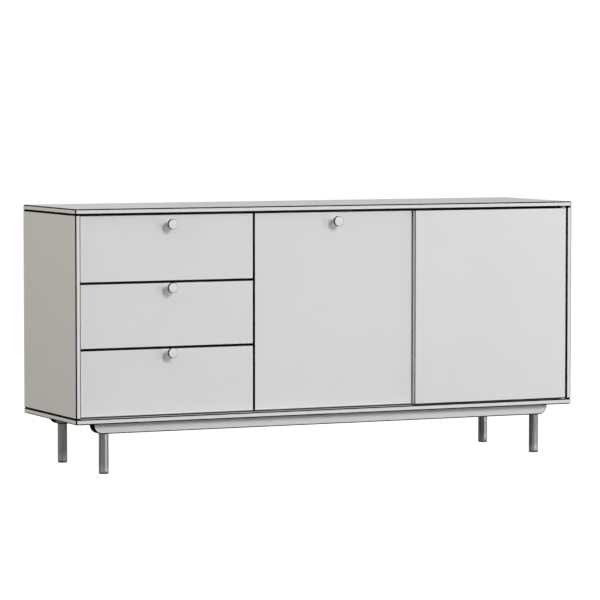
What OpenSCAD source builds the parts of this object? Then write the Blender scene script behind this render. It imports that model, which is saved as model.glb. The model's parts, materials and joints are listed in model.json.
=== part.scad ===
// Sideboard with three drawers, a drop-down flap and a hinged door, on two rails and four round legs.
// Millimetres. The floor is z = 0, the origin is the middle of the footprint, and the fronts face -Y.

/* [Carcass] */
// Overall length of the carcass
carcass_w = 1600; // [1300:10:2000]
// Depth of the carcass, without the knobs
carcass_d = 424; // [340:2:560]
// Height of the carcass box, from the underside of the bottom board to the top
carcass_h = 612; // [500:2:760]
// Thickness of the carcass boards
board_t = 16; // [13:0.1:22]
// Chamfer along the arrises of the carcass boards
board_ch = 3.3; // [0.5:0.1:3.5]
// Thickness of the back panel
back_t = 3; // [2.5:0.5:6]
// Distance from the rear edges to the back panel
back_in = 8; // [5:1:20]
// Depth of the grooves that hold the back panel
groove_d = 6; // [3:0.5:8]

/* [Base] */
// Height of the two rails under the carcass
rail_h = 31; // [24:1:60]
// Thickness of the rails, front to back
rail_t = 34; // [28:1:50]
// Distance from each end of the carcass to the ends of the rails
rail_end_in = 65; // [30:1:200]
// Distance from the front and rear faces to the middle of the rails
rail_in = 48; // [35:1:120]
// Radius of the lower corners of the rails
rail_r = 26; // [5:1:30]
// Diameter of the legs
leg_d = 28; // [20:0.5:29]
// Wall of the leg tube
leg_wall = 1.5; // [1:0.1:3]
// Height of the legs with their glides
leg_h = 115; // [80:1:220]
// Distance from each end of the carcass to the middle of the legs
leg_end_in = 102; // [70:1:300]
// Thickness of the glide under each leg
glide_h = 3; // [2:0.5:6]

/* [Fronts] */
// Thickness of the drawer fronts, the flap and the door
front_t = 16; // [13:0.1:20]
// Chamfer along the arrises of the fronts
front_ch = 2.2; // [0.5:0.1:2.5]
// How far the drawer fronts and the flap stand behind the carcass front
front_in = 16; // [10:0.5:24]
// Gap around the fronts, at the carcass
gap_edge = 2.5; // [2:0.1:4]
// Gap between two fronts
gap_front = 3; // [2:0.1:4]
// Width of the drawer bay, between the left side panel and the left partition
bay_drawers_w = 534; // [420:1:620]
// Distance from the middle of the left partition to the right partition
bay_flap_w = 514.5; // [400:0.5:600]
// Height of the middle drawer front
front_mid_h = 185.6; // [120:0.1:220]
// Gap between the left edge of the door and the flap beside it
gap_door = 1.2; // [1:0.1:3]
// Gap between the right edge of the flap and the partition
gap_flap = 2; // [1.5:0.1:4]

/* [Drawers] */
// Thickness of the drawer sides and back
drawer_t = 12; // [10:0.5:15]
// Space above the drawer sides, up to the upper edge of the lowest front
drawer_head = 27.6; // [10:0.1:60]
// Height of the drawer sides above the lower edge of the front
drawer_up = 20; // [14:1:34]
// Thickness of the drawer bottom
drawer_bottom_t = 4; // [3:0.5:6]
// Height of the drawer bottom above the lower edge of the drawer sides
drawer_bottom_up = 12; // [8:1:20]
// Depth of the grooves for the drawer bottom
drawer_groove = 5; // [3:0.5:7]
// Space between the drawer boxes and the back panel
drawer_rear_gap = 31; // [5:1:80]

/* [Runners] */
// Distance from the rear end of the drawer boxes to the ends of the runners
runner_end_in = 4; // [0:1:60]
// Height of the outer runner member
runner_h = 45; // [35:1:60]
// Space for a runner beside the drawer
runner_w = 13; // [12.5:0.1:16]
// Thickness of the runner steel
runner_t = 1.2; // [1:0.1:1.6]
// Clearance between the outer and the middle runner member, up and down
runner_gap_out = 2.8; // [1:0.1:4]
// Clearance between the middle and the inner runner member, up and down
runner_gap_in = 2; // [1:0.1:4]
// Side play that the runner members keep from each other
runner_play = 1; // [0.5:0.1:1.5]

/* [Knobs] */
// Diameter of the knob disc
knob_d = 29.5; // [20:0.5:34]
// Thickness of the knob disc
knob_disc = 10; // [6:0.5:16]
// How far the knobs stand out from their fronts
knob_out = 35; // [28:0.5:45]
// Diameter of the knob neck
knob_neck_d = 12; // [9:0.5:18]
// Chamfer of the knob disc
knob_ch = 0.8; // [0.3:0.1:2]
// Distance of the drawer knobs to the right of the middle of their fronts
knob_aside = 3.5; // [-100:0.5:100]
// Knob centre below the upper edge of the top drawer front and of the flap
knob_down_top = 28; // [16:0.5:60]
// Knob centre below the upper edge of the middle drawer front
knob_down_mid = 15; // [14:0.5:60]
// Clearance between the bottom drawer's knob and the front that passes above it
knob_pass = 1; // [0.5:0.1:10]
// Diameter of the knob screws
knob_screw_d = 4; // [3:0.5:5]
// Depth of the knob screws in the knobs
knob_screw_in = 14; // [8:1:18]

/* [Hinges] */
// Diameter of the flap pins
flap_pin_d = 4; // [3:0.5:5]
// Height of the flap pins above the lower edge of the flap
flap_pin_up = 9; // [8.5:0.1:14]
// Distance from each side of the flap to its hinges
flap_hinge_in = 90; // [50:1:160]
// Width of the flap hinge tongue
tongue_w = 12; // [8:0.5:20]
// Diameter of the door pivot pins
door_pin_d = 5; // [4:0.5:6]
// Wall of the pivot bushes
bush_wall = 1.5; // [1:0.1:3]
// Depth of the pivot bushes in the boards
bush_h = 8; // [5:0.5:10]
// Radial clearance of the turning pins
pin_fit = 0.05; // [0.02:0.01:0.08]
// Clearance of the flap's lower inner corner as it swings
flap_swing_gap = 1.4; // [0.5:0.1:4]
// Clearance of the door's hinged corner as it swings
door_swing_gap = 0.57; // [0.3:0.01:1.5]

/* [Shelves] */
// Thickness of the shelves
shelf_t = 16; // [12:0.5:22]
// Clearance at each end of a shelf
shelf_gap = 1; // [0.5:0.1:3]
// Height of the shelves above the bottom board
shelf_up = 280; // [120:2:400]
// Distance from what closes a bay to the front edge of its shelf
shelf_front_in = 24; // [10:1:80]
// Distance from the back panel to the shelves
shelf_rear_in = 8; // [1:1:30]
// Distance between the shelf pin holes, up and down
pin_pitch = 32; // [25:1:64]
// Diameter of the shelf pins
shelf_pin_d = 5; // [4:0.5:7]

/* [Hidden] */
$fn = 48;

// Small amounts: overlap of a cut with open space, and clearance of a part in its seat
eps = 0.5;
seat = 0.05;
snug = 0.1;
groove_play = 0.5;

white = "gainsboro";
steel = "silver";
dark = [0.2, 0.2, 0.21];

// Levels
z_box = leg_h + rail_h;
z_top = z_box + carcass_h;
z_in0 = z_box + board_t;
z_in1 = z_top - board_t;

// Depths, counted from the carcass front; the knobs stand proud of it
knob_proud = max(0, knob_out - front_in);
y_front = -(carcass_d + knob_proud) / 2 + knob_proud;
y_rear = y_front + carcass_d;
y_set = y_front + front_in;
y_set_back = y_set + front_t;
y_back = y_rear - back_in - back_t;

// Widths
x_in = carcass_w / 2 - board_t;
x_pl0 = -x_in + bay_drawers_w;
x_pl1 = x_pl0 + board_t;
x_split = (x_pl0 + x_pl1) / 2;
x_pr0 = x_split + bay_flap_w;
x_pr1 = x_pr0 + board_t;

// Fronts: the drawers, then the flap, then the door
front_x0 = -x_in + gap_edge;
front_x1 = x_split - gap_front / 2;
front_z0 = z_in0 + gap_edge;
front_z1 = z_in1 - gap_edge;
front_end_h = (front_z1 - front_z0 - front_mid_h - 2 * gap_front) / 2;
flap_x0 = x_split + gap_front / 2;
flap_x1 = x_pr0 - gap_flap;
flap_x = (flap_x0 + flap_x1) / 2;
door_x0 = flap_x1 + gap_door;
door_x1 = x_in - gap_edge;

knob_x = (front_x0 + front_x1) / 2 + knob_aside;

// Each drawer is [lower edge of its front, height of its front, knob centre below the upper edge]
knob_down_low = knob_d / 2 - gap_front + knob_pass;
low = [front_z0, front_end_h, knob_down_low];
mid = [front_z0 + front_end_h + gap_front, front_mid_h, knob_down_mid];
top = [front_z1 - front_end_h, front_end_h, knob_down_top];
DRAWERS = [low, mid, top];

// Flap pins: half-way through the panel, and how far its lower inner corner swings back
flap_y = y_set + front_t / 2;
flap_z = front_z0 + flap_pin_up;
eye_wall = 2.5;
eye_r = flap_pin_d / 2 + eye_wall;
tongue_h = 6;
slot_gap = 0.5;
pin_beyond = 8;
swing = norm([front_t / 2 - front_ch, flap_pin_up]);
y_part = flap_y + swing + flap_swing_gap;
flap_hinges = [flap_x0 + flap_hinge_in, flap_x1 - flap_hinge_in];

// Flap brackets: the post behind the flap and the plate on the bottom board
behind = 1.5;
post_y = y_part + behind;
post_t = 6;
plate_w = 30;
plate_l = 30;
plate_t = 2.5;

// Door pins: half-way through the panel, as far in as lets the corner clear the side panel
door_y = y_front + front_t / 2;
door_corner = front_t / 2 - front_ch;
door_reach = gap_edge - door_swing_gap;
door_x = door_x1 - (pow(door_corner, 2) - pow(door_reach, 2)) / (2 * door_reach);
door_pin_in = 14;
door_pin_end = 1;
bush_r = door_pin_d / 2 + pin_fit + bush_wall;
bush_rim = 2;
flange_gap = 0.4;
bush_flange = gap_edge - flange_gap;

// Drawer boxes and runners: heights of the three runner members, and the step between their webs
box_x0 = -x_in + runner_w;
box_x1 = x_pl0 - runner_w;
y_box1 = y_back - drawer_rear_gap;
drawer_side_h = min([for (d = DRAWERS) d[1]]) - drawer_up - drawer_head;
runner_y0 = y_part + behind;
runner_y1 = y_box1 - runner_end_in;
middle_h = runner_h - 2 * (runner_t + runner_gap_out);
inner_h = middle_h - 2 * (runner_t + runner_gap_in);
web_step = runner_w / 3 - runner_play;

// Cam fittings: places along the depth, cam centre from the board end, and sizes
cam_front_in = 75;
cam_rear_in = 60;
cam_ys = [y_front + cam_front_in, y_rear - cam_rear_in];
cam_from_end = 34;
cam_r = 7.5;
cam_h = 12.5;
bolt_r = 3;
bolt_in_board = 11;

// Shelves
shelf_y0 = y_part + shelf_front_in;
door_shelf_y0 = y_front + front_t + shelf_front_in;
shelf_y1 = y_back - shelf_rear_in;
shelf_z = z_in0 + shelf_up;
shelf_ch = 0.6;
pin_in = 45;
pin_floor = 1;
pin_hole = board_t / 2 - pin_floor;
pin_out = 9;

// Legs
leg_x = carcass_w / 2 - leg_end_in;
leg_y0 = y_front + rail_in;
leg_y1 = y_rear - rail_in;
stud_r = 4;
stud_cover = 6;
stud_h = rail_h - stud_cover;
leg_cap = 12;
glide_in = 0.6;
glide_plug_h = 9;
rail_x = carcass_w / 2 - rail_end_in;
rail_screw_xs = [-0.86, -0.3, 0.3, 0.86] * (rail_x - rail_r);
rail_screw_r = 2.25;
rail_screw_len = 20;
rail_head_r = 4.5;
rail_head_h = 3;
rail_head_sunk = 0.2;

// Magnet catches and their strike plates
catch_l = 45;
catch_w = 14;
catch_d = 16;
strike_l = 38;
strike_w = 12;
strike_t = 1.2;
strike_in = 1;
catch_gap = 0.5;
catch_down = 90;
catch_x = flap_x + catch_l;
catch_z = front_z1 - catch_down;
flap_catch_y = y_set_back + strike_t + catch_gap;
door_catch_y = y_front + front_t + strike_t + catch_gap;

// Knobs: the foot of the neck and the flare under the disc
foot_out = 1.5;
foot_h = 2;
flare = 4;
knob_head_h = 2.4;
screw_end = 0.5;

// A board between two corners with a chamfer along every arris
module board(lo, hi, ch) {
    s = hi - lo;
    translate(lo)
        intersection() {
            linear_extrude(s[2]) chamfered(s[0], s[1], ch);
            translate([0, s[1], 0]) rotate([90, 0, 0]) linear_extrude(s[1]) chamfered(s[0], s[2], ch);
            rotate([90, 0, 90]) linear_extrude(s[0]) chamfered(s[1], s[2], ch);
        }
}

module chamfered(w, h, c) {
    polygon([[c, 0], [w - c, 0], [w, c], [w, h - c], [w - c, h], [c, h], [0, h - c], [0, c]]);
}

module block(lo, hi) {
    translate(lo) cube(hi - lo);
}

// A round bar between two heights, and one along X or Y
module bar_z(x, y, z0, z1, r) {
    translate([x, y, z0]) cylinder(h = z1 - z0, r = r);
}

module bar_x(x0, x1, y, z, r) {
    translate([x0, y, z]) rotate([0, 90, 0]) cylinder(h = x1 - x0, r = r);
}

module bar_y(x, y0, y1, z, r) {
    translate([x, y1, z]) rotate([90, 0, 0]) cylinder(h = y1 - y0, r = r);
}

// The space of the back panel, with its edges in the grooves
module back_space(fit) {
    g = groove_d - groove_play;
    block([-x_in - g - fit, y_back - fit, z_in0 - g - fit],
          [x_in + g + fit, y_back + back_t + fit, z_in1 + g + fit]);
}

// Cams and their bolts at the upper and lower end of one upright: x of the bolts, x of the cam's mouth,
// and the way in from there
module cam_set(x_bolt, x_mouth, inward, bore, bolts, locks) {
    for (y = cam_ys) {
        for (end = [[z_in0, 1], [z_in1, -1]]) {
            z_cam = end[0] + end[1] * cam_from_end;
            z_tip = end[0] - end[1] * bolt_in_board;
            if (locks)
                bar_x(min(x_mouth, x_mouth + inward * cam_h), max(x_mouth, x_mouth + inward * cam_h),
                      y, z_cam, cam_r + bore);
            if (bolts)
                bar_z(x_bolt, y, min(z_cam, z_tip) - bore, max(z_cam, z_tip) + bore, bolt_r + bore);
        }
    }
}

// All uprights in turn: middle of the board, face that the cams enter, and the way in
UPRIGHTS = [
    [-x_in - board_t / 2, -x_in, -1], [x_pl0 + board_t / 2, x_pl1, -1],
    [x_pr0 + board_t / 2, x_pr1, -1], [x_in + board_t / 2, x_in, 1]
];

module cam_sets(bore, bolts, locks) {
    for (u = UPRIGHTS) cam_set(u[0], u[1], u[2], bore, bolts, locks);
}

// Rows of holes for the shelf pins, on both sides of a bay
module shelf_pin_row(x0, x1, y, r, rows) {
    for (k = rows) bar_x(x0, x1, y, shelf_z - shelf_pin_d / 2 + k * pin_pitch, r);
}

module shelf_pin_bay(bay_x0, bay_x1, y0, bore, reach, rows) {
    r = shelf_pin_d / 2 + bore;
    for (y = [y0 + pin_in, shelf_y1 - pin_in]) {
        shelf_pin_row(bay_x0 - pin_hole, bay_x0 + reach, y, r, rows);
        shelf_pin_row(bay_x1 - reach, bay_x1 + pin_hole, y, r, rows);
    }
}

module shelf_pin_holes() {
    shelf_pin_bay(x_pl1, x_pr0, shelf_y0, seat, eps, [-1, 0, 1]);
    shelf_pin_bay(x_pr1, x_in, door_shelf_y0, seat, eps, [-1, 0, 1]);
}

module door_bush_space(fit) {
    bar_z(door_x, door_y, z_in1 - eps, z_in1 + bush_h + fit, bush_r + fit);
    bar_z(door_x, door_y, z_in0 - bush_h - fit, z_in0 + eps, bush_r + fit);
}

module rail_screw_shafts(y, r) {
    for (x = rail_screw_xs) bar_z(x, y, z_box - rail_screw_len, z_in0 - rail_head_h + eps, r);
}

module rail_screw_heads(y, r, z1) {
    for (x = rail_screw_xs) bar_z(x, y, z_in0 - rail_head_h, z1, r);
}

// Carcass
module top_panel() {
    color(white) difference() {
        board([-carcass_w / 2, y_front, z_in1], [carcass_w / 2, y_rear, z_top], board_ch);
        back_space(snug);
        cam_sets(seat, true, false);
        door_bush_space(seat);
    }
}

module bottom_panel() {
    color(white) difference() {
        board([-carcass_w / 2, y_front, z_box], [carcass_w / 2, y_rear, z_in0], board_ch);
        back_space(snug);
        cam_sets(seat, true, false);
        door_bush_space(seat);
        for (y = [leg_y0, leg_y1]) {
            rail_screw_shafts(y, rail_screw_r + seat);
            rail_screw_heads(y, rail_head_r + seat, z_in0 + eps);
        }
    }
}

module side_board(x0) {
    board([x0, y_front, z_in0], [x0 + board_t, y_rear, z_in1], board_ch);
}

module side_panel_left() {
    color(white) difference() {
        side_board(-carcass_w / 2);
        back_space(snug);
        cam_sets(seat, true, true);
    }
}

module side_panel_right() {
    color(white) difference() {
        side_board(x_in);
        back_space(snug);
        cam_sets(seat, true, true);
        shelf_pin_holes();
    }
}

module partition_left() {
    color(white) difference() {
        block([x_pl0, y_part, z_in0], [x_pl1, y_back, z_in1]);
        cam_sets(seat, true, true);
        shelf_pin_holes();
    }
}

module partition_right() {
    color(white) difference() {
        block([x_pr0, y_front + front_t + catch_gap, z_in0], [x_pr1, y_back, z_in1]);
        cam_sets(seat, true, true);
        shelf_pin_holes();
    }
}

module back_panel() {
    color("whitesmoke") back_space(0);
}

module cam_locks() {
    color(steel) difference() {
        cam_sets(0, false, true);
        cam_sets(seat, true, false);
    }
}

module cam_bolts() {
    color("dimgray") cam_sets(0, true, false);
}

module shelf(x0, x1, y0) {
    color(white)
        board([x0 + shelf_gap, y0, shelf_z], [x1 - shelf_gap, shelf_y1, shelf_z + shelf_t], shelf_ch);
}

module shelf_centre() {
    shelf(x_pl1, x_pr0, shelf_y0);
}

module shelf_right() {
    shelf(x_pr1, x_in, door_shelf_y0);
}

module shelf_pins() {
    color(steel) {
        shelf_pin_bay(x_pl1, x_pr0, shelf_y0, 0, pin_out, [0]);
        shelf_pin_bay(x_pr1, x_in, door_shelf_y0, 0, pin_out, [0]);
    }
}

// Base
module rail_outline() {
    r = min(rail_r, rail_h - 1);
    difference() {
        translate([-rail_x, 0]) square([2 * rail_x, rail_h]);
        for (side = [-1, 1])
            translate([side * (rail_x - r), r]) difference() {
                translate([(side - 1) / 2 * (r + eps), -r - eps]) square([r + eps, r + eps]);
                circle(r, $fn = 64);
            }
    }
}

module rail(y) {
    color(white) difference() {
        translate([0, y + rail_t / 2, leg_h]) rotate([90, 0, 0]) linear_extrude(rail_t) rail_outline();
        rail_screw_shafts(y, rail_screw_r + seat);
        for (x = [-leg_x, leg_x]) bar_z(x, y, leg_h - eps, leg_h + stud_h + eps, stud_r + seat);
    }
}

module rail_front() {
    rail(leg_y0);
}

module rail_rear() {
    rail(leg_y1);
}

module rail_screws() {
    color(steel)
        for (y = [leg_y0, leg_y1]) {
            rail_screw_shafts(y, rail_screw_r);
            rail_screw_heads(y, rail_head_r, z_in0 - rail_head_sunk);
        }
}

// A tube with a closed top and a stud, open below for the glide
module leg(x, y) {
    color(steel) {
        difference() {
            bar_z(x, y, glide_h, leg_h, leg_d / 2);
            bar_z(x, y, 0, leg_h - leg_cap, leg_d / 2 - leg_wall);
        }
        bar_z(x, y, leg_h - leg_cap, leg_h + stud_h, stud_r);
    }
}

module leg_front_left() {
    leg(-leg_x, leg_y0);
}

module leg_front_right() {
    leg(leg_x, leg_y0);
}

module leg_rear_left() {
    leg(-leg_x, leg_y1);
}

module leg_rear_right() {
    leg(leg_x, leg_y1);
}

module leg_glides() {
    color(dark)
        for (x = [-leg_x, leg_x], y = [leg_y0, leg_y1]) {
            bar_z(x, y, 0, glide_h, leg_d / 2 - glide_in);
            bar_z(x, y, 0, glide_h + glide_plug_h, leg_d / 2 - leg_wall - seat);
        }
}

// Runners: a channel with its web on one side, between two distances from the bay's wall.
// wall is the wall's x and away is the way from it into the bay.
module channel(wall, away, w0, w1, web_at, h, zc) {
    for (part = [[web_at, web_at + runner_t, -h / 2, h / 2], [w0, w1, h / 2 - runner_t, h / 2],
                 [w0, w1, -h / 2, -h / 2 + runner_t]]) {
        xa = wall + away * part[0];
        xb = wall + away * part[1];
        block([min(xa, xb), runner_y0, zc + part[2]], [max(xa, xb), runner_y1, zc + part[3]]);
    }
}

function runner_z(d) = d[0] + drawer_up + drawer_side_h / 2;

module runner_pair(d, w0, w1, web_at, h) {
    color(steel) {
        channel(-x_in, 1, w0, w1, web_at, h, runner_z(d));
        channel(x_pl0, -1, w0, w1, web_at, h, runner_z(d));
    }
}

module runners_outer() {
    for (d = DRAWERS) runner_pair(d, 0, runner_w - web_step, 0, runner_h);
}

module runners_middle(d) {
    runner_pair(d, web_step, runner_w - runner_t - runner_play, web_step, middle_h);
}

module runners_inner(d) {
    runner_pair(d, 2 * web_step, runner_w, runner_w - runner_t, inner_h);
}

// Knobs: a neck that flares into a flat disc, lathed about the pull axis
module knob(x, y, z) {
    r = knob_d / 2;
    n = knob_neck_d / 2;
    h = knob_out - knob_disc;
    color(white) translate([x, y, z]) rotate([90, 0, 0]) rotate_extrude($fn = 64) difference() {
        polygon([[0, 0], [n + foot_out, 0], [n + foot_out, foot_h], [n, 2 * foot_h], [n, h - flare],
                 [n + flare, h], [r - knob_ch, h], [r, h + knob_ch], [r, knob_out - knob_ch],
                 [r - knob_ch, knob_out], [0, knob_out]]);
        square([knob_screw_d / 2 + seat, knob_screw_in + screw_end]);
    }
}

module knob_screw(x, y, z) {
    color(steel) {
        bar_y(x, y - front_t - knob_screw_in, y + eps, z, knob_screw_d / 2);
        bar_y(x, y, y + knob_head_h, z, knob_screw_d);
    }
}

module knob_screw_hole(x, y, z) {
    bar_y(x, y - front_t - eps, y + eps, z, knob_screw_d / 2 + seat);
}

// Drawers
function knob_z(d) = d[0] + d[1] - d[2];
function box_z(d) = d[0] + drawer_up;

module drawer_bottom_space(d, fit) {
    g = drawer_groove - groove_play;
    z = box_z(d) + drawer_bottom_up;
    block([box_x0 + drawer_t - g - fit, y_set_back - g - fit, z - fit],
          [box_x1 - drawer_t + g + fit, y_box1 - drawer_t + g + fit, z + drawer_bottom_t + fit]);
}

module drawer_front(d) {
    color(white) difference() {
        board([front_x0, y_set, d[0]], [front_x1, y_set_back, d[0] + d[1]], front_ch);
        drawer_bottom_space(d, snug);
        knob_screw_hole(knob_x, y_set_back, knob_z(d));
    }
}

module drawer_side(d, x0) {
    color("whitesmoke") difference() {
        block([x0, y_set_back, box_z(d)], [x0 + drawer_t, y_box1, box_z(d) + drawer_side_h]);
        drawer_bottom_space(d, snug);
    }
}

module drawer_back(d) {
    color("whitesmoke") difference() {
        block([box_x0 + drawer_t, y_box1 - drawer_t, box_z(d)],
              [box_x1 - drawer_t, y_box1, box_z(d) + drawer_side_h]);
        drawer_bottom_space(d, snug);
    }
}

module drawer_bottom(d) {
    color("whitesmoke") drawer_bottom_space(d, 0);
}

module drawer_knob(d) {
    knob(knob_x, y_set, knob_z(d));
}

module drawer_knob_screw(d) {
    knob_screw(knob_x, y_set_back, knob_z(d));
}

// Flap: the slots let the hinge tongues swing out of the lower inner arris
module flap_slot(x) {
    w = tongue_w + 2 * slot_gap;
    side = tongue_h / 2 + slot_gap;
    down = flap_pin_up + eps;
    translate([x - w / 2, flap_y, flap_z]) rotate([90, 0, 90]) linear_extrude(w) {
        circle(eye_r + slot_gap);
        translate([0, -down]) square([front_t, down + side]);
        translate([-side, -down]) square([front_t, down]);
    }
}

module flap_pin_bar(x, beyond, r) {
    bar_x(x - tongue_w / 2 - beyond, x + tongue_w / 2 + beyond, flap_y, flap_z, r);
}

module flap_panel() {
    color(white) difference() {
        board([flap_x0, y_set, front_z0], [flap_x1, y_set_back, front_z1], front_ch);
        for (x = flap_hinges) {
            flap_slot(x);
            flap_pin_bar(x, pin_beyond + screw_end, flap_pin_d / 2 + seat / 2);
        }
        knob_screw_hole(flap_x, y_set_back, front_z1 - knob_down_top);
    }
}

module flap_pins() {
    color(steel)
        for (x = flap_hinges) flap_pin_bar(x, pin_beyond, flap_pin_d / 2);
}

module flap_brackets() {
    color(steel)
        for (x = flap_hinges)
            difference() {
                union() {
                    translate([x - tongue_w / 2, flap_y, flap_z]) rotate([90, 0, 90])
                        linear_extrude(tongue_w) {
                            circle(eye_r);
                            translate([0, -tongue_h / 2]) square([post_y + post_t - flap_y, tongue_h]);
                        }
                    block([x - tongue_w / 2, post_y, z_in0], [x + tongue_w / 2, post_y + post_t, flap_z]);
                    block([x - plate_w / 2, post_y, z_in0],
                          [x + plate_w / 2, post_y + plate_l, z_in0 + plate_t]);
                }
                bar_x(x - tongue_w, x + tongue_w, flap_y, flap_z, flap_pin_d / 2 + pin_fit);
            }
}

module flap_knob() {
    knob(flap_x, y_set, front_z1 - knob_down_top);
}

module flap_knob_screw() {
    knob_screw(flap_x, y_set_back, front_z1 - knob_down_top);
}

module flap_strike() {
    z1 = front_z1 - strike_in;
    color(steel) block([catch_x - strike_l / 2, y_set_back, z1 - strike_w],
                       [catch_x + strike_l / 2, y_set_back + strike_t, z1]);
}

// Door
module door_panel() {
    color(white) difference() {
        board([door_x0, y_front, front_z0], [door_x1, y_front + front_t, front_z1], front_ch);
        bar_z(door_x, door_y, front_z0 - eps, front_z0 + door_pin_in + screw_end, door_pin_d / 2 + seat / 2);
        bar_z(door_x, door_y, front_z1 - door_pin_in - screw_end, front_z1 + eps, door_pin_d / 2 + seat / 2);
    }
}

module door_pins() {
    color(steel) {
        bar_z(door_x, door_y, z_in0 - bush_h + door_pin_end, front_z0 + door_pin_in, door_pin_d / 2);
        bar_z(door_x, door_y, front_z1 - door_pin_in, z_in1 + bush_h - door_pin_end, door_pin_d / 2);
    }
}

module door_bushes() {
    color("whitesmoke") difference() {
        union() {
            bar_z(door_x, door_y, z_in0 - bush_h, z_in0 + bush_flange, bush_r);
            bar_z(door_x, door_y, z_in0, z_in0 + bush_flange, bush_r + bush_rim);
            bar_z(door_x, door_y, z_in1 - bush_flange, z_in1 + bush_h, bush_r);
            bar_z(door_x, door_y, z_in1 - bush_flange, z_in1, bush_r + bush_rim);
        }
        bar_z(door_x, door_y, z_in0 - bush_h - eps, z_in1 + bush_h + eps, door_pin_d / 2 + pin_fit);
    }
}

module door_strike() {
    x0 = x_pr1 + strike_in;
    color(steel) block([x0, y_front + front_t, catch_z - strike_l / 2],
                       [x0 + strike_w, y_front + front_t + strike_t, catch_z + strike_l / 2]);
}

module magnet_catches() {
    color("white") {
        block([catch_x - catch_l / 2, flap_catch_y, z_in1 - catch_w],
              [catch_x + catch_l / 2, flap_catch_y + catch_d, z_in1]);
        block([x_pr1, door_catch_y, catch_z - catch_l / 2],
              [x_pr1 + catch_w, door_catch_y + catch_d, catch_z + catch_l / 2]);
    }
}

top_panel();
bottom_panel();
side_panel_left();
side_panel_right();
partition_left();
partition_right();
back_panel();
cam_locks();
cam_bolts();
shelf_centre();
shelf_right();
shelf_pins();
rail_front();
rail_rear();
rail_screws();
leg_front_left();
leg_front_right();
leg_rear_left();
leg_rear_right();
leg_glides();
runners_outer();
flap_brackets();
door_bushes();
magnet_catches();
drawer_front(top);  // drawer_top_front
drawer_side(top, box_x0);  // drawer_top_side_left
drawer_side(top, box_x1 - drawer_t);  // drawer_top_side_right
drawer_back(top);  // drawer_top_back
drawer_bottom(top);  // drawer_top_bottom
drawer_knob(top);  // drawer_top_knob
drawer_knob_screw(top);  // drawer_top_knob_screw
runners_inner(top);  // drawer_top_runners_inner
runners_middle(top);  // drawer_top_runners_middle
drawer_front(mid);  // drawer_mid_front
drawer_side(mid, box_x0);  // drawer_mid_side_left
drawer_side(mid, box_x1 - drawer_t);  // drawer_mid_side_right
drawer_back(mid);  // drawer_mid_back
drawer_bottom(mid);  // drawer_mid_bottom
drawer_knob(mid);  // drawer_mid_knob
drawer_knob_screw(mid);  // drawer_mid_knob_screw
runners_inner(mid);  // drawer_mid_runners_inner
runners_middle(mid);  // drawer_mid_runners_middle
drawer_front(low);  // drawer_low_front
drawer_side(low, box_x0);  // drawer_low_side_left
drawer_side(low, box_x1 - drawer_t);  // drawer_low_side_right
drawer_back(low);  // drawer_low_back
drawer_bottom(low);  // drawer_low_bottom
drawer_knob(low);  // drawer_low_knob
drawer_knob_screw(low);  // drawer_low_knob_screw
runners_inner(low);  // drawer_low_runners_inner
runners_middle(low);  // drawer_low_runners_middle
flap_panel();
flap_knob();
flap_knob_screw();
flap_pins();
flap_strike();
door_panel();
door_pins();
door_strike();
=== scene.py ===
import math
import json
import bpy
import bmesh
from mathutils import Matrix, Vector


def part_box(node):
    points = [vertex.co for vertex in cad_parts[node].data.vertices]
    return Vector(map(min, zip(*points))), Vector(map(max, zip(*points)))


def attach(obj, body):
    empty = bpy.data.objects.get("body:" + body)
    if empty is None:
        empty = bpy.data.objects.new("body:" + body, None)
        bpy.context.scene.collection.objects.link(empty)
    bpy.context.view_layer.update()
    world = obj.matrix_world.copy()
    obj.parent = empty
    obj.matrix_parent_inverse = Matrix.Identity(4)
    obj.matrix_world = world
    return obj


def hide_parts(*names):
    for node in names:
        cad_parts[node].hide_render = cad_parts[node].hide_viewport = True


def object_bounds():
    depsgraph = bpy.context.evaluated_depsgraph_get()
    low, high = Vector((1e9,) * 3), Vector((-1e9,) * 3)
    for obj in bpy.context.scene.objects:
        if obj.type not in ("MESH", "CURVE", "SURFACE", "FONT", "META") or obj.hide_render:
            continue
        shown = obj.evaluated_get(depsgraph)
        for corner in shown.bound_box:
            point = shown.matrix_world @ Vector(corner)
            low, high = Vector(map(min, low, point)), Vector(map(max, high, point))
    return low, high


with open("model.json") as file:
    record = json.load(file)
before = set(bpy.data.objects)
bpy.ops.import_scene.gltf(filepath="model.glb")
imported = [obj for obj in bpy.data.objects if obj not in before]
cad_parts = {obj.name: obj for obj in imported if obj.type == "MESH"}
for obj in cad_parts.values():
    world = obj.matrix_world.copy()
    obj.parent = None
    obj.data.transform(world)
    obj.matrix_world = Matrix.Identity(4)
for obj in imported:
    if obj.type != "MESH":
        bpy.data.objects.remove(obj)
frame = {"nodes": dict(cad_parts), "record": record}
nodes = frame["nodes"]
cadLow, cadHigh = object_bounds()
mm = 0.001
drawerNames = ["top", "mid", "low"]
print("frame loaded:", len(nodes), "nodes")


# ---- helpers for nodes and groups

def newGroup(name, inputs, outputs):
    group = bpy.data.node_groups.new(name, "ShaderNodeTree")
    for label, kind, value in inputs:
        socket = group.interface.new_socket(name=label, in_out="INPUT", socket_type=kind)
        if value is not None:
            socket.default_value = value
    for label, kind in outputs:
        group.interface.new_socket(name=label, in_out="OUTPUT", socket_type=kind)
    start = group.nodes.new("NodeGroupInput")
    end = group.nodes.new("NodeGroupOutput")
    return group, start, end


def addNoise(tree, vector, scale, detail=3.0, roughness=0.5):
    noise = tree.nodes.new("ShaderNodeTexNoise")
    noise.inputs["Detail"].default_value = detail
    noise.inputs["Roughness"].default_value = roughness
    if isinstance(scale, (int, float)):
        noise.inputs["Scale"].default_value = scale
    else:
        tree.links.new(scale, noise.inputs["Scale"])
    tree.links.new(vector, noise.inputs["Vector"])
    return noise.outputs["Fac"]


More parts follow.
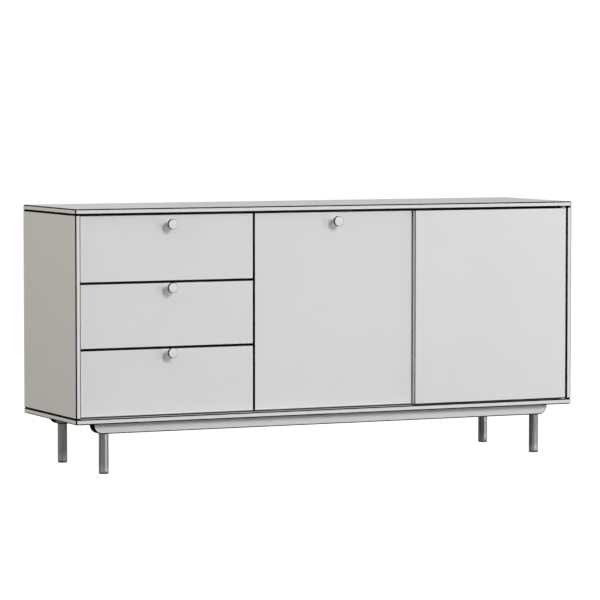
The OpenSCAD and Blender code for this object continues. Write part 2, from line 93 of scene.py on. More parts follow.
def addMath(tree, operation, first, second=None, clamp=False):
    node = tree.nodes.new("ShaderNodeMath")
    node.operation = operation
    node.use_clamp = clamp
    for place, value in enumerate((first, second)):
        if value is None:
            continue
        if isinstance(value, (int, float)):
            node.inputs[place].default_value = value
        else:
            tree.links.new(value, node.inputs[place])
    return node.outputs[0]


def addRange(tree, value, low, high, toLow, toHigh):
    node = tree.nodes.new("ShaderNodeMapRange")
    tree.links.new(value, node.inputs["Value"])
    for label, number in (("From Min", low), ("From Max", high), ("To Min", toLow), ("To Max", toHigh)):
        if isinstance(number, (int, float)):
            node.inputs[label].default_value = number
        else:
            tree.links.new(number, node.inputs[label])
    return node.outputs["Result"]


def addMix(tree, factor, first, second):
    node = tree.nodes.new("ShaderNodeMix")
    node.data_type = "RGBA"
    tree.links.new(factor, node.inputs[0])
    for place, value in ((6, first), (7, second)):
        if isinstance(value, (tuple, list)):
            node.inputs[place].default_value = (*value, 1.0)
        else:
            tree.links.new(value, node.inputs[place])
    return node.outputs[2]


def addBump(tree, height, strength, distance):
    node = tree.nodes.new("ShaderNodeBump")
    node.inputs["Strength"].default_value = strength
    node.inputs["Distance"].default_value = distance
    tree.links.new(height, node.inputs["Height"])
    return node.outputs["Normal"]


# ---- shared effects, one node group each

facing = (0.90, 0.95)  # a face counts as square to an axis above these shares of its normal


def makeFaceMaskGroup():
    # masks by face direction: Arris on chamfers and bores, where a board shows its black core; Edge on all but
    # the two wide faces,
    # Left and Front on the flat faces turned that way; Edge and Front mark where black is painted shade in the
    # gaps between parts
    outputs = [(label, "NodeSocketFloat") for label in ("Arris", "Edge", "Left", "Front")]
    group, start, end = newGroup("faceMasks", [("Normal", "NodeSocketVector", None)], outputs)
    split = group.nodes.new("ShaderNodeSeparateXYZ")
    group.links.new(start.outputs["Normal"], split.inputs[0])
    sizes = [addMath(group, "ABSOLUTE", split.outputs[k]) for k in range(3)]
    largest = addMath(group, "MAXIMUM", addMath(group, "MAXIMUM", sizes[0], sizes[1]), sizes[2])
    group.links.new(addRange(group, largest, *facing, 1.0, 0.0), end.inputs["Arris"])
    group.links.new(addRange(group, sizes[1], *facing, 1.0, 0.0), end.inputs["Edge"])
    group.links.new(addRange(group, split.outputs[0], -facing[1], -facing[0], 1.0, 0.0), end.inputs["Left"])
    group.links.new(addRange(group, split.outputs[1], -facing[1], -facing[0], 1.0, 0.0), end.inputs["Front"])
    return group


def makeSkinGroup():
    # slow cloudiness, a fine pebble and stray specks of dust, for laminate, lacquer and plastic
    inputs = [("Vector", "NodeSocketVector", None), ("Pebble", "NodeSocketFloat", 900.0)]
    group, start, end = newGroup("satinSkin", inputs,
                                 [("Cloud", "NodeSocketFloat"), ("Height", "NodeSocketFloat"),
                                  ("Dust", "NodeSocketFloat")])
    vector = start.outputs["Vector"]
    cloud = addNoise(group, vector, 3.2, 4.0, 0.55)
    pebble = addNoise(group, vector, start.outputs["Pebble"], 2.0, 0.6)
    specks = addNoise(group, vector, 240.0, 1.0, 0.4)
    group.links.new(addRange(group, cloud, 0.35, 0.65, 0.0, 1.0), end.inputs["Cloud"])
    group.links.new(pebble, end.inputs["Height"])
    group.links.new(addRange(group, specks, 0.74, 0.80, 0.0, 1.0), end.inputs["Dust"])
    return group


def makeBrushGroup():
    # long scratches along Z on round or flat metal
    inputs = [("Vector", "NodeSocketVector", None), ("Across", "NodeSocketFloat", 900.0)]
    group, start, end = newGroup("brushMarks", inputs,
                                 [("Marks", "NodeSocketFloat"), ("Broad", "NodeSocketFloat")])
    squash = group.nodes.new("ShaderNodeVectorMath")
    squash.operation = "MULTIPLY"
    squash.inputs[1].default_value = (1.0, 1.0, 0.012)
    group.links.new(start.outputs["Vector"], squash.inputs[0])
    marks = addNoise(group, squash.outputs[0], start.outputs["Across"], 4.0, 0.7)
    broad = addNoise(group, squash.outputs[0], 240.0, 1.0, 0.5)
    group.links.new(addRange(group, marks, 0.3, 0.7, 0.0, 1.0), end.inputs["Marks"])
    group.links.new(addRange(group, broad, 0.38, 0.62, 0.0, 1.0), end.inputs["Broad"])
    return group


faceMaskGroup = makeFaceMaskGroup()
skinGroup = makeSkinGroup()
brushGroup = makeBrushGroup()


def newMaterial(name, roughness=0.5, metallic=0.0):
    material = bpy.data.materials.new(name)
    material.use_nodes = True
    tree = material.node_tree
    shader = tree.nodes["Principled BSDF"]
    shader.inputs["Roughness"].default_value = roughness
    shader.inputs["Metallic"].default_value = metallic
    coordinates = tree.nodes.new("ShaderNodeTexCoord")
    return material, tree, shader, coordinates


def placeGroup(tree, group, **values):
    node = tree.nodes.new("ShaderNodeGroup")
    node.node_tree = group
    for label, value in values.items():
        if isinstance(value, (int, float)):
            node.inputs[label].default_value = value
        else:
            tree.links.new(value, node.inputs[label])
    return node


# black of the board core on chamfers, also used as painted shade on faces inside the gaps and on the rail ends
# and undersides
coreAndShadeBlack = (0.004, 0.004, 0.0045)
coreAndShadeRough = 0.95


def coreAndShadeMask(tree, coordinates, mode):
    mask = placeGroup(tree, faceMaskGroup, Normal=coordinates.outputs["Normal"])
    # arris is the black core alone; the edge modes and the front of arrisAndFront add painted shade on faces
    # inside the gaps
    if mode == "arris":
        return mask.outputs["Arris"]
    if mode == "arrisAndFront":
        return addMath(tree, "MAXIMUM", mask.outputs["Arris"], mask.outputs["Front"])
    if mode == "edgesButLeft":
        return addMath(tree, "SUBTRACT", mask.outputs["Edge"], mask.outputs["Left"], True)
    return mask.outputs["Edge"]


def makeSatin(name, light, shade, rough, pebble=900.0, bump=0.06, blackPlaces=None, specular=0.4):
    # a satin board, lacquer or plastic, with an optional mask of places painted black: the black core on chamfers
    # and bores, and painted shade on edge and front faces inside the gaps between parts
    material, tree, shader, coordinates = newMaterial(name)
    shader.inputs["Specular IOR Level"].default_value = specular
    skin = placeGroup(tree, skinGroup, Vector=coordinates.outputs["Object"], Pebble=pebble)
    colour = addMix(tree, skin.outputs["Cloud"], light, shade)
    colour = addMix(tree, addMath(tree, "MULTIPLY", skin.outputs["Dust"], 0.10), colour, (0.55, 0.54, 0.52))
    gloss = addRange(tree, skin.outputs["Cloud"], 0.0, 1.0, rough - 0.04, rough + 0.05)
    if blackPlaces:
        # paints the masked places black: black core on chamfers, painted shade on edge and front faces in the
        # gaps
        mask = coreAndShadeMask(tree, coordinates, blackPlaces)
        colour = addMix(tree, mask, colour, coreAndShadeBlack)
        gloss = addRange(tree, mask, 0.0, 1.0, gloss, coreAndShadeRough)
    tree.links.new(colour, shader.inputs["Base Color"])
    tree.links.new(gloss, shader.inputs["Roughness"])
    tree.links.new(addBump(tree, skin.outputs["Height"], bump, 0.0002), shader.inputs["Normal"])
    return material


def makeMetal(name, light, shade, rough, across=900.0, bump=0.12, broad=0.7, foot=0.0):
    # foot lightens the lowest part of the tube: a painted reflection of the bright floor
    material, tree, shader, coordinates = newMaterial(name, metallic=1.0)
    brush = placeGroup(tree, brushGroup, Vector=coordinates.outputs["Object"], Across=across)
    mixed = addMath(tree, "ADD", addMath(tree, "MULTIPLY", brush.outputs["Marks"], 1.0 - broad),
                    addMath(tree, "MULTIPLY", brush.outputs["Broad"], broad), True)
    # painted reflection of the floor: the colour grows lighter towards the bottom of the tube
    if foot:
        split = tree.nodes.new("ShaderNodeSeparateXYZ")
        tree.links.new(coordinates.outputs["Object"], split.inputs[0])
        mixed = addMath(tree, "ADD", mixed, addRange(tree, split.outputs[2], 0.005, 0.032, foot, 0.0), True)
    tree.links.new(addMix(tree, mixed, shade, light), shader.inputs["Base Color"])
    tree.links.new(addRange(tree, brush.outputs["Marks"], 0.0, 1.0, rough - 0.06, rough + 0.08),
                   shader.inputs["Roughness"])
    tree.links.new(addBump(tree, brush.outputs["Marks"], bump, 0.0001), shader.inputs["Normal"])
    return material


def makePlated(name, light, shade, rough):
    # zinc or nickel plate: cloudy, slightly mottled, with no direction
    material, tree, shader, coordinates = newMaterial(name, metallic=1.0)
    skin = placeGroup(tree, skinGroup, Vector=coordinates.outputs["Object"], Pebble=1400.0)
    fine = addNoise(tree, coordinates.outputs["Object"], 420.0, 5.0, 0.65)
    tree.links.new(addMix(tree, addRange(tree, fine, 0.35, 0.65, 0.0, 1.0), shade, light),
                   shader.inputs["Base Color"])
    tree.links.new(addRange(tree, fine, 0.3, 0.7, rough - 0.04, rough + 0.04), shader.inputs["Roughness"])
    tree.links.new(addBump(tree, skin.outputs["Height"], 0.08, 0.0001), shader.inputs["Normal"])
    return material


laminateLight, laminateShade = (0.802, 0.802, 0.803), (0.788, 0.788, 0.790)


def makeLaminate(name, blackPlaces):
    return makeSatin(name, laminateLight, laminateShade, 0.44, blackPlaces=blackPlaces, specular=0.10)


whiteLaminate = makeLaminate("whiteLaminate", "arris")
# drawer and flap fronts get black edge faces, the door all but its left edge, the uprights black front faces:
# painted shade that keeps the gaps between fronts dark
frontLaminateShadedEdges = makeLaminate("frontLaminateShadedEdges", "edges")
doorLaminateShadedEdges = makeLaminate("doorLaminateShadedEdges", "edgesButLeft")
uprightLaminateShadedFront = makeLaminate("uprightLaminateShadedFront", "arrisAndFront")
# black of the rail ends, undersides and arrises: black core, with painted shade on the ends and undersides
coreAndShadeEdge = makeSatin("blackCoreAndShade", (0.006, 0.006, 0.007), coreAndShadeBlack, 0.85, 1500.0, 0.10, specular=0.1)
knobWhite = makeSatin("knobLacquer", (0.815, 0.816, 0.820), (0.800, 0.802, 0.806), 0.38, 1100.0, 0.05)
knobBlack = makeSatin("knobRim", (0.040, 0.040, 0.042), (0.028, 0.028, 0.030), 0.55, 1100.0, 0.08, specular=0.3)
drawerBoard = makeSatin("drawerMelamine", (0.80, 0.80, 0.79), (0.78, 0.78, 0.772), 0.55, 700.0, 0.10)
thinBoard = makeSatin("thinHardboard", (0.74, 0.74, 0.735), (0.72, 0.72, 0.715), 0.60, 500.0, 0.14)
whitePlastic = makeSatin("whitePlastic", (0.76, 0.76, 0.75), (0.74, 0.74, 0.73), 0.40, 1600.0, 0.05)
blackPlastic = makeSatin("blackPlastic", (0.030, 0.030, 0.031), (0.020, 0.020, 0.021), 0.48, 1200.0, 0.15)
# foot=0.5 paints the floor's reflection onto the lowest part of each leg
legSteel = makeMetal("brushedLegSteel", (0.96, 0.955, 0.945), (0.22, 0.218, 0.212), 0.32, foot=0.5)
legEndSteel = makeMetal("polishedLegEnd", (0.95, 0.945, 0.93), (0.70, 0.695, 0.68), 0.20, broad=0.2)
runnerZinc = makePlated("runnerZinc", (0.62, 0.64, 0.66), (0.57, 0.59, 0.61), 0.34)
bracketNickel = makePlated("bracketNickel", (0.66, 0.65, 0.63), (0.60, 0.59, 0.57), 0.28)
screwSteel = makePlated("screwZinc", (0.58, 0.59, 0.61), (0.50, 0.51, 0.53), 0.32)
camZinc = makePlated("camZinc", (0.50, 0.51, 0.53), (0.44, 0.45, 0.47), 0.42)
ballSteel = makePlated("ballSteel", (0.70, 0.71, 0.72), (0.66, 0.67, 0.68), 0.14)
cageBrass = makePlated("ballCage", (0.60, 0.52, 0.34), (0.53, 0.46, 0.30), 0.36)
print("materials made")


# ---- finishes of the pieces that come from the frame

slotMaterials = {
    "white_laminate": whiteLaminate, "back_board": thinBoard, "drawer_board": drawerBoard,
    "drawer_bottom_board": thinBoard, "knob_white": knobWhite, "leg_steel": legSteel,
    "glide_plastic": blackPlastic, "runner_steel": runnerZinc, "bracket_steel": bracketNickel,
    "screw_steel": screwSteel, "pin_steel": bracketNickel, "zinc": camZinc, "white_plastic": whitePlastic,
}
# fronts and uprights take the materials whose black edge and front faces are painted shade for the gaps between
# them
ownMaterials = {"drawer_" + drawer + "_front": frontLaminateShadedEdges for drawer in drawerNames}
ownMaterials.update(flap_panel=frontLaminateShadedEdges, door_panel=doorLaminateShadedEdges,
                    partition_left=uprightLaminateShadedFront, partition_right=uprightLaminateShadedFront)
for entry in frame["record"]["subparts"]:
    data = nodes[entry["node"]].data
    data.materials.clear()
    data.materials.append(ownMaterials.get(entry["node"], slotMaterials[entry["material_slot"]]))
print("frame pieces finished")


# ---- helpers for new pieces

def solidBoxes(name):
    # lowest and highest corner of each separate solid of one node
    work = bmesh.new()
    work.from_mesh(nodes[name].data)
    bmesh.ops.remove_doubles(work, verts=work.verts[:], dist=0.00001)
    left = set(work.verts)
    boxes = []
    while left:
        island = [left.pop()]
        for vert in island:
            for edge in vert.link_edges:
                other = edge.other_vert(vert)
                if other in left:
                    left.remove(other)
                    island.append(other)
        low = Vector([min(v.co[k] for v in island) for k in range(3)])
        high = Vector([max(v.co[k] for v in island) for k in range(3)])
        boxes.append((low, high))
    work.free()
    return sorted(boxes, key=lambda b: tuple(round(c, 4) for c in (*b[0], *b[1])))


def turned(place, axis):
    # matrix that puts a piece made round +Z at a place, along an axis
    quat = Vector((0, 0, 1)).rotation_difference(Vector(axis).normalized())
    return Matrix.Translation(place) @ quat.to_matrix().to_4x4()


def lathe(work, profile, matrix, steps, part=0):
    # profile is a list of (radius, height), turned once round the matrix's own Z
    before = set(work.faces)
    verts = [work.verts.new((radius, 0, height)) for radius, height in profile]
    edges = [work.edges.new(pair) for pair in zip(verts, verts[1:])]
    bmesh.ops.spin(work, geom=verts + edges, cent=(0, 0, 0), axis=(0, 0, 1), dvec=(0, 0, 0),
                   angle=2 * math.pi, steps=steps, use_merge=True, use_duplicate=False)
    faces = [f for f in work.faces if f not in before]
    made = list({v for f in faces for v in f.verts})
    bmesh.ops.remove_doubles(work, verts=made, dist=0.000002)
    faces = [f for f in work.faces if f not in before]
    for face in faces:
        face.material_index = part
    bmesh.ops.transform(work, matrix=matrix, verts=list({v for f in faces for v in f.verts}))
    return faces


def slab(work, low, high, part=0):
    before = set(work.faces)
    size = high - low
    place = Matrix.Translation((low + high) / 2) @ Matrix.Diagonal((*size, 1.0))
    bmesh.ops.create_cube(work, size=1.0, matrix=place)
    faces = [f for f in work.faces if f not in before]
    for face in faces:
        face.material_index = part
    return faces


def softenEdges(work, edges, offset, segments=2, part=None):
    made = bmesh.ops.bevel(work, geom=edges, offset=offset, offset_type="OFFSET", affect="EDGES",
                           segments=segments, profile=0.5, material=-1, clamp_overlap=True)
    if part is not None:
        for face in made["faces"]:
            face.material_index = part


def makePiece(name, work, materials, body, smooth=35, replaced=()):
    bmesh.ops.recalc_face_normals(work, faces=work.faces[:])
    data = bpy.data.meshes.new(name)
    work.to_mesh(data)
    work.free()
    for material in materials:
        data.materials.append(material)
    data.shade_smooth()
    data.set_sharp_from_angle(angle=math.radians(smooth))
    piece = bpy.data.objects.new(name, data)
    bpy.context.scene.collection.objects.link(piece)
    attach(piece, body)
    if replaced:
        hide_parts(*replaced)
    return piece


# ---- knobs: a white neck that flares into a white disc with a black rim

knobSpec = {
    "neck": 6.0 * mm, "foot": 7.5 * mm, "footTall": 1.2 * mm, "footCurve": 2.4 * mm,
    "disc": 10.0 * mm, "edge": 1.2 * mm, "flare": 5.0 * mm, "steps": 72,
}


def arc(steps):
    # sine and cosine along a quarter turn, without its start
    turns = [k / steps * math.pi / 2 for k in range(1, steps + 1)]
    return [(math.sin(turn), math.cos(turn)) for turn in turns]


def makeKnob(nodeName, body):
    low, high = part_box(nodeName)
    radius = (high.x - low.x) / 2
    out = high.y - low.y
    centre = Vector(((low.x + high.x) / 2, high.y, (low.z + high.z) / 2))
    discAt = out - knobSpec["disc"]
    neck, foot, flare = knobSpec["neck"], knobSpec["foot"], knobSpec["flare"]
    footTall, footCurve = knobSpec["footTall"], knobSpec["footCurve"]
    profile = [(0, 0), (foot, 0), (foot, footTall)]
    for sine, cosine in arc(5):
        profile.append((neck + (foot - neck) * (1 - sine), footTall + footCurve * (1 - cosine)))
    profile.append((neck, discAt - flare))
    profile += [(neck + flare * (1 - cosine), discAt - flare * (1 - sine)) for sine, cosine in arc(8)]
    profile += [(radius, discAt), (radius, out), (0, out)]
    work = bmesh.new()
    lathe(work, profile, turned(centre, (0, -1, 0)), knobSpec["steps"])
    rim = [e for e in work.edges if len(e.link_faces) == 2 and e.calc_face_angle() > 1.2
           and (e.verts[0].co - centre).cross(Vector((0, 1, 0))).length > 0.95 * radius]
    softenEdges(work, rim, knobSpec["edge"], 3)
    rimStart = radius - knobSpec["edge"] - 0.1 * mm
    for face in work.faces:
        arm = face.calc_center_median() - centre
        face.material_index = 1 if math.hypot(arm.x, arm.z) > rimStart else 0
    makePiece(nodeName + "_turned", work, [knobWhite, knobBlack], body, 30, [nodeName])


for drawer in drawerNames:
    makeKnob("drawer_" + drawer + "_knob", "drawer_" + drawer)
makeKnob("flap_knob", "flap")
print("knobs made")


# ---- rails: rounded lower corners, black ends and undersides, partly black core and partly painted shade

railSpec = {"corner": 26.0 * mm, "turns": 14, "arris": 3.0 * mm}


def makeRail(nodeName):
    low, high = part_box(nodeName)
    work = bmesh.new()
    slab(work, low, high)
    lower = [e for e in work.edges if all(abs(v.co.z - low.z) < mm for v in e.verts)
             and abs(e.verts[0].co.x - e.verts[1].co.x) < mm]
    softenEdges(work, lower, railSpec["corner"], railSpec["turns"])
    # ends and underside painted black: the board's black core and painted shade on faces turned down and sideways
    # from the light
    for face in work.faces:
        if face.normal.z < -0.2 or abs(face.normal.x) > 0.2:
            face.material_index = 1
    outline = [e for e in work.edges if len(e.link_faces) == 2
               and sorted(abs(round(f.normal.y)) for f in e.link_faces) == [0, 1]]
    softenEdges(work, outline, railSpec["arris"], 1, 1)
    makePiece(nodeName + "_board", work, [whiteLaminate, coreAndShadeEdge], "carcass", 30, [nodeName])


makeRail("rail_front")
makeRail("rail_rear")
print("rails made")


# ---- legs: a brushed tube with softened ends and a polished end ring above the glide

legSpec = {
    "endEdge": 0.7 * mm, "ring": 4.0 * mm, "wall": 1.5 * mm, "cap": 12.0 * mm, "stud": 4.0 * mm, "steps": 96,
}


def makeLeg(nodeName):
    low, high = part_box(nodeName)
    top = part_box("rail_front")[0].z
    radius, edge = (high.x - low.x) / 2, legSpec["endEdge"]
    bore, cap, stud = radius - legSpec["wall"], top - legSpec["cap"], legSpec["stud"]
    ring = low.z + legSpec["ring"]
    place = Matrix.Translation(((low.x + high.x) / 2, (low.y + high.y) / 2, 0))
    profile = [(0, cap), (bore, cap), (bore, low.z), (radius - edge, low.z), (radius, low.z + edge),
               (radius, ring), (radius, top - edge), (radius - edge, top),
               (stud, top), (stud, high.z), (0, high.z)]
    work = bmesh.new()
    for face in lathe(work, profile, place, legSpec["steps"]):
        if face.calc_center_median().z < ring:
            face.material_index = 1
    makePiece(nodeName + "_tube", work, [legSteel, legEndSteel], "carcass", 30, [nodeName])


for leg in ("leg_front_left", "leg_front_right", "leg_rear_left", "leg_rear_right"):
    makeLeg(leg)
print("legs made")


# ---- crossed recesses, for screws and cams

slotFloor = 0.8  # width of a recess at its floor, as a share of its mouth


def crossHead(work, matrix, radius, height, slotLong, slotWide, deep, steps=24, dome=0.0, part=0):
    # a round head whose top, at height, has a cross cut into it; it stands on the matrix's XY plane
    long, wide = slotLong / 2, slotWide / 2
    corners = [(wide, long), (-wide, long), (-wide, wide), (-long, wide), (-long, -wide), (-wide, -wide),
               (-wide, -long), (wide, -long), (wide, -wide), (long, -wide), (long, wide), (wide, wide)]
    before = set(work.faces)
    cross = [work.verts.new((x, y, height)) for x, y in corners]
    crossEdges = [work.edges.new((cross[k], cross[k - 1])) for k in range(len(cross))]
    ring = bmesh.ops.create_circle(work, cap_ends=False, segments=steps, radius=radius - dome,
                                   matrix=Matrix.Translation((0, 0, height)))["verts"]
    ringEdges = list({e for v in ring for e in v.link_edges})
    bmesh.ops.bridge_loops(work, edges=crossEdges + ringEdges)
    for offset, depth in ((dome, dome / 2), (0.0, height - dome / 2)):
        if depth <= 0:
            continue
        made = bmesh.ops.extrude_edge_only(work, edges=ringEdges)["geom"]
        ring = [g for g in made if isinstance(g, bmesh.types.BMVert)]
        ringEdges = [g for g in made if isinstance(g, bmesh.types.BMEdge)]
        if offset:
            grow = 1 + offset / (radius - dome)
            bmesh.ops.scale(work, vec=(grow, grow, 1), verts=ring)
        bmesh.ops.translate(work, vec=(0, 0, -depth), verts=ring)
    bmesh.ops.contextual_create(work, geom=ringEdges)
    made = bmesh.ops.extrude_edge_only(work, edges=crossEdges)["geom"]
    floor = [g for g in made if isinstance(g, bmesh.types.BMVert)]
    floorEdges = [g for g in made if isinstance(g, bmesh.types.BMEdge)]
    bmesh.ops.scale(work, vec=(slotFloor, slotFloor, 1), verts=floor)
    bmesh.ops.translate(work, vec=(0, 0, -deep), verts=floor)
    bmesh.ops.contextual_create(work, geom=floorEdges)
    faces = [f for f in work.faces if f not in before]
    for face in faces:
        face.material_index = part
    bmesh.ops.transform(work, matrix=matrix, verts=list({v for f in faces for v in f.verts}))


# ---- cams: a crossed disc in each bore of the uprights

camSpec = {"slotLong": 9.0 * mm, "slotWide": 1.8 * mm, "deep": 2.2 * mm, "dome": 0.4 * mm}


def makeCams():
    work = bmesh.new()
    uprights = [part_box(n) for n in ("side_panel_left", "partition_left", "partition_right", "side_panel_right")]
    middles = [(box[0].x + box[1].x) / 2 for box in uprights]
    for low, high in solidBoxes("cam_locks"):
        centre = (low + high) / 2
        upright = min(middles, key=lambda x: abs(x - centre.x))
        outward = -1 if upright == middles[3] else 1
        base = Vector((low.x if outward > 0 else high.x, centre.y, centre.z))
        crossHead(work, turned(base, (outward, 0, 0)), (high.z - low.z) / 2, high.x - low.x,
                  camSpec["slotLong"], camSpec["slotWide"], camSpec["deep"], 32, camSpec["dome"])
    makePiece("cam_locks_crossed", work, [camZinc], "carcass", 30, ["cam_locks"])


makeCams()


# ---- screws of the knobs, with a domed head

screwSpec = {
    "head": 4.0 * mm, "tall": 2.4 * mm, "dome": 1.0 * mm, "shaft": 2.0 * mm,
    "slotLong": 4.2 * mm, "slotWide": 1.0 * mm, "deep": 1.4 * mm,
}


def makeKnobScrew(nodeName, body):
    low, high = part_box(nodeName)
    shaft, tall = screwSpec["shaft"], screwSpec["tall"]
    centre = Vector(((low.x + high.x) / 2, high.y - tall, (low.z + high.z) / 2))
    work = bmesh.new()
    crossHead(work, turned(centre, (0, 1, 0)), screwSpec["head"], tall, screwSpec["slotLong"],
              screwSpec["slotWide"], screwSpec["deep"], 28, screwSpec["dome"])
    length = centre.y - low.y
    place = turned((centre.x, low.y, centre.z), (0, 1, 0))
    lathe(work, [(0, 0), (shaft, 0), (shaft, length), (0, length)], place, 24)
    makePiece(nodeName + "_crossed", work, [screwSteel], body, 30, [nodeName])


for drawer in drawerNames:
    makeKnobScrew("drawer_" + drawer + "_knob_screw", "drawer_" + drawer)
makeKnobScrew("flap_knob_screw", "flap")
print("cams and knob screws made")


# ---- small screws that hold the runners, brackets, strikes and back panel

smallSpec = {"head": 3.2 * mm, "tall": 1.1 * mm, "slotLong": 3.4 * mm, "slotWide": 0.8 * mm, "deep": 0.8 * mm}
flatSpec = {"head": 2.6 * mm, "tall": 0.35 * mm, "slotLong": 3.4 * mm, "slotWide": 0.8 * mm, "deep": 0.28 * mm}
runnerWeb = 1.2 * mm  # thickness of the steel of the runners
bracketHole = {"aside": 9.0 * mm, "fromRear": 9.0 * mm, "up": 2.5 * mm}
strikeHole = {"aside": 13.0 * mm, "sunk": 0.05 * mm}


def smallScrews(name, places, axis, body, spec):
    work = bmesh.new()
    for place in places:
        crossHead(work, turned(place, axis), spec["head"], spec["tall"], spec["slotLong"], spec["slotWide"],
                  spec["deep"], 20, spec["tall"] / 2)
    makePiece(name, work, [screwSteel], body, 30)


def runnerScrews():
    left, right = [], []
    for low, high in solidBoxes("runners_outer"):
        isLeft = low.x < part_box("side_panel_left")[1].x + 2 * mm
        x = low.x + runnerWeb if isLeft else high.x - runnerWeb
        for share in (0.1, 0.5, 0.9):
            place = Vector((x, low.y + (high.y - low.y) * share, (low.z + high.z) / 2))
            (left if isLeft else right).append(place)
    smallScrews("runner_screws_left", left, (1, 0, 0), "carcass", smallSpec)
    smallScrews("runner_screws_right", right, (-1, 0, 0), "carcass", smallSpec)


def backScrews():
    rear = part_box("back_panel")[1].y
    places = []
    for upright in ("partition_left", "partition_right"):
        low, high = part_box(upright)
        for share in (0.08, 0.36, 0.64, 0.92):
            places.append(Vector(((low.x + high.x) / 2, rear, low.z + (high.z - low.z) * share)))
    smallScrews("back_panel_screws", places, (0, 1, 0), "carcass", smallSpec)


def bracketScrews():
    places = []
    for low, high in solidBoxes("flap_brackets"):
        for side in (-1, 1):
            places.append(Vector(((low.x + high.x) / 2 + side * bracketHole["aside"],
                                  high.y - bracketHole["fromRear"], low.z + bracketHole["up"])))
    smallScrews("flap_bracket_screws", places, (0, 0, 1), "carcass", smallSpec)


def strikeScrews(nodeName, body, along):
    low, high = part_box(nodeName)
    centre = (low + high) / 2
    places = []
    for side in (-1, 1):
        shift = Vector((0, 0, 0))
        shift[along] = side * strikeHole["aside"]
        places.append(Vector((centre.x, high.y - strikeHole["sunk"], centre.z)) + shift)
    smallScrews(nodeName + "_screws", places, (0, 1, 0), body, flatSpec)


runnerScrews()
backScrews()
bracketScrews()
strikeScrews("flap_strike", "flap", 0)
strikeScrews("door_strike", "door", 2)
print("small screws made")


# ---- balls and cages between the runner members

ballSpec = {
    "count": 9, "edge": 14.0 * mm, "play": 0.06 * mm,
    "cageWide": 4.2 * mm, "cageThick": 0.4 * mm, "cagePast": 4.0 * mm,
}


def ballRow(work, x, z, y0, y1, radius):
    step = (y1 - y0) / (ballSpec["count"] - 1)
    for k in range(ballSpec["count"]):
        made = bmesh.ops.create_icosphere(work, subdivisions=2, radius=radius,
                                          matrix=Matrix.Translation((x, y0 + k * step, z)))
        for face in {f for v in made["verts"] for f in v.link_faces}:
            face.material_index = 0
    half = Vector((ballSpec["cageWide"] / 2, (y1 - y0) / 2 + ballSpec["cagePast"], ballSpec["cageThick"] / 2))
    middle = Vector((x, (y0 + y1) / 2, z))
    slab(work, middle - half, middle + half, 1)


def makeBalls(drawer):
    # one row above and one below, between the outer and middle members and the middle and inner ones
    outer = solidBoxes("runners_outer")
    middle = solidBoxes("drawer_" + drawer + "_runners_middle")
    inner = solidBoxes("drawer_" + drawer + "_runners_inner")
    work = bmesh.new()
    for mid, inn in zip(middle, inner):
        level = (mid[0].z + mid[1].z) / 2
        out = next(b for b in outer if abs((b[0].z + b[1].z) / 2 - level) < mm
                   and b[0].x < mid[1].x and b[1].x > mid[0].x)
        front, centre, rear = mid[0].y, (mid[0].y + mid[1].y) / 2, mid[1].y
        for wide, thin, y0, y1 in ((out, mid, centre, rear), (mid, inn, front, centre)):
            top, bottom = wide[1].z - runnerWeb - level, thin[1].z - level
            x = (max(wide[0].x, thin[0].x) + min(wide[1].x, thin[1].x)) / 2
            radius = (top - bottom) / 2 - ballSpec["play"]
            for side in (-1, 1):
                z = level + side * (top + bottom) / 2
                ballRow(work, x, z, y0 + ballSpec["edge"], y1 - ballSpec["edge"], radius)
    makePiece("drawer_" + drawer + "_runner_balls", work, [ballSteel, cageBrass], "runners_" + drawer,
              50)


for drawer in drawerNames:
    makeBalls(drawer)
print("runner balls made")


# ---- magnet catches: a moulded body with two steel poles on its front

catchSpec = {"edge": 1.0 * mm, "proud": 0.4 * mm, "pole": 1.0 * mm, "poleEnd": 6.0 * mm, "poleAside": 2.6 * mm}


def makeCatches():
    work = bmesh.new()
    for low, high in solidBoxes("magnet_catches"):
        faces = slab(work, low + Vector((0, catchSpec["proud"], 0)), high)
        softenEdges(work, list({e for f in faces for e in f.edges}), catchSpec["edge"])
        size = high - low
        along = 0 if size.x > size.z else 2
        across = 2 - along
        for side in (-1, 1):
            middle = (low + high) / 2
            half = Vector((0, catchSpec["pole"], 0))
            half[along] = size[along] / 2 - catchSpec["poleEnd"]
            half[across] = catchSpec["pole"] / 2
            shift = Vector((0, 0, 0))
            shift[across] = side * catchSpec["poleAside"]
            spot = Vector((middle.x, low.y + catchSpec["pole"], middle.z)) + shift
            slab(work, spot - half, spot + half, 1)
    makePiece("magnet_catches_moulded", work, [whitePlastic, bracketNickel], "carcass", 30,
              ["magnet_catches"])


makeCatches()
print("catches made")


# ---- floor, camera and light

roomSpec = {
    "floor": 60.0, "floorColour": (0.22, 0.22, 0.22), "floorSeen": 0.95, "floorGlow": 0.02,
    "skySeen": 1.05, "skyLow": 0.15, "skyRise": 0.42,
}
cameraSpec = {
    "lens": 207.43, "turn": 24.878, "tilt": 3.565, "distance": 10.28, "aim": (-0.0054, 0.0067, 0.4694),
}
lightSpec = [
    # name, direction it comes from, distance, width, height, strength, colour
    ("keyLight", (0.115, -0.917, 0.380), 11.0, 2.0, 3.1, 512.0, (0.97, 0.98, 1.0)),
    ("rightStrip", (0.569, -0.813, 0.122), 6.0, 1.3, 2.6, 51.0, (0.985, 0.99, 1.0)),
    ("rightBox", (0.95, -0.25, 0.10), 4.0, 2.4, 2.0, 29.0, (0.99, 0.99, 1.0)),
    ("leftBox", (-0.86, -0.15, 0.46), 5.0, 3.0, 3.0, 66.5, (1.0, 0.91, 0.78)),
    ("backLight", (-0.2, 0.9, 0.7), 6.0, 3.0, 3.0, 46.0, (1.0, 0.99, 0.97)),
]


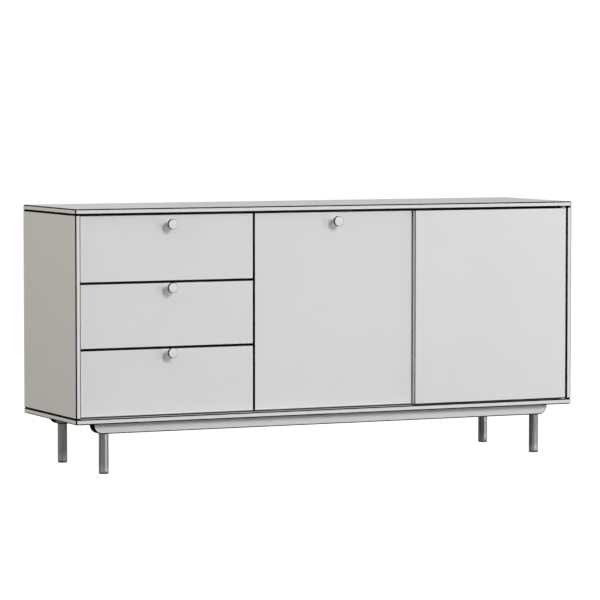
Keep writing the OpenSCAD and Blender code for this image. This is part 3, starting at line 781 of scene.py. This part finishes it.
def makeFloor():
    work = bmesh.new()
    bmesh.ops.create_grid(work, x_segments=1, y_segments=1, size=roomSpec["floor"] / 2)
    data = bpy.data.meshes.new("floor")
    work.to_mesh(data)
    work.free()
    floor = bpy.data.objects.new("floor", data)
    bpy.context.scene.collection.objects.link(floor)
    material, tree, shader, coordinates = newMaterial("paleFloor", roughness=0.9)
    shader.inputs["Base Color"].default_value = (*roomSpec["floorColour"], 1.0)
    shader.inputs["Specular IOR Level"].default_value = 0.0
    shader.inputs["Emission Color"].default_value = (1.0, 1.0, 1.0, 1.0)
    path = tree.nodes.new("ShaderNodeLightPath")
    glow = addRange(tree, path.outputs["Is Camera Ray"], 0.0, 1.0, roomSpec["floorGlow"], roomSpec["floorSeen"])
    tree.links.new(glow, shader.inputs["Emission Strength"])
    data.materials.append(material)


def makeSky():
    # pale behind the object, and a dimmer dome that grows brighter overhead as its light
    world = bpy.data.worlds.new("studio")
    bpy.context.scene.world = world
    world.use_nodes = True
    tree = world.node_tree
    sky = tree.nodes["Background"]
    path = tree.nodes.new("ShaderNodeLightPath")
    coordinates = tree.nodes.new("ShaderNodeTexCoord")
    split = tree.nodes.new("ShaderNodeSeparateXYZ")
    tree.links.new(coordinates.outputs["Generated"], split.inputs[0])
    low = roomSpec["skyLow"]
    dome = addRange(tree, split.outputs[2], 0.0, 1.0, low, low + roomSpec["skyRise"])
    strength = addRange(tree, path.outputs["Is Camera Ray"], 0.0, 1.0, dome, roomSpec["skySeen"])
    tree.links.new(strength, sky.inputs["Strength"])
    colour = addMix(tree, path.outputs["Is Camera Ray"], (1.0, 0.995, 0.985), (1.0, 1.0, 1.0))
    tree.links.new(colour, sky.inputs["Color"])


def makeLights():
    target = (cadLow + cadHigh) / 2
    for name, direction, distance, wide, tall, strength, colour in lightSpec:
        light = bpy.data.lights.new(name, "AREA")
        light.shape = "RECTANGLE"
        light.size = wide
        light.size_y = tall
        light.energy = strength
        light.color = colour
        lamp = bpy.data.objects.new(name, light)
        bpy.context.scene.collection.objects.link(lamp)
        away = Vector(direction).normalized()
        lamp.location = target + away * distance
        lamp.rotation_euler = (-away).to_track_quat("-Z", "Y").to_euler()


def makeCamera():
    lens = bpy.data.cameras.new("camera")
    lens.lens = cameraSpec["lens"]
    lens.sensor_width = 36.0
    lens.clip_end = 100.0
    camera = bpy.data.objects.new("camera", lens)
    bpy.context.scene.collection.objects.link(camera)
    turn, tilt = math.radians(cameraSpec["turn"]), math.radians(cameraSpec["tilt"])
    ahead = Vector((math.sin(turn) * math.cos(tilt), math.cos(turn) * math.cos(tilt), -math.sin(tilt)))
    camera.location = Vector(cameraSpec["aim"]) - ahead * cameraSpec["distance"]
    camera.rotation_euler = (math.radians(90) - tilt, 0, -turn)
    bpy.context.scene.camera = camera


makeFloor()
makeSky()
makeLights()
makeCamera()
bpy.context.scene.view_settings.view_transform = "Standard"
print("room made")
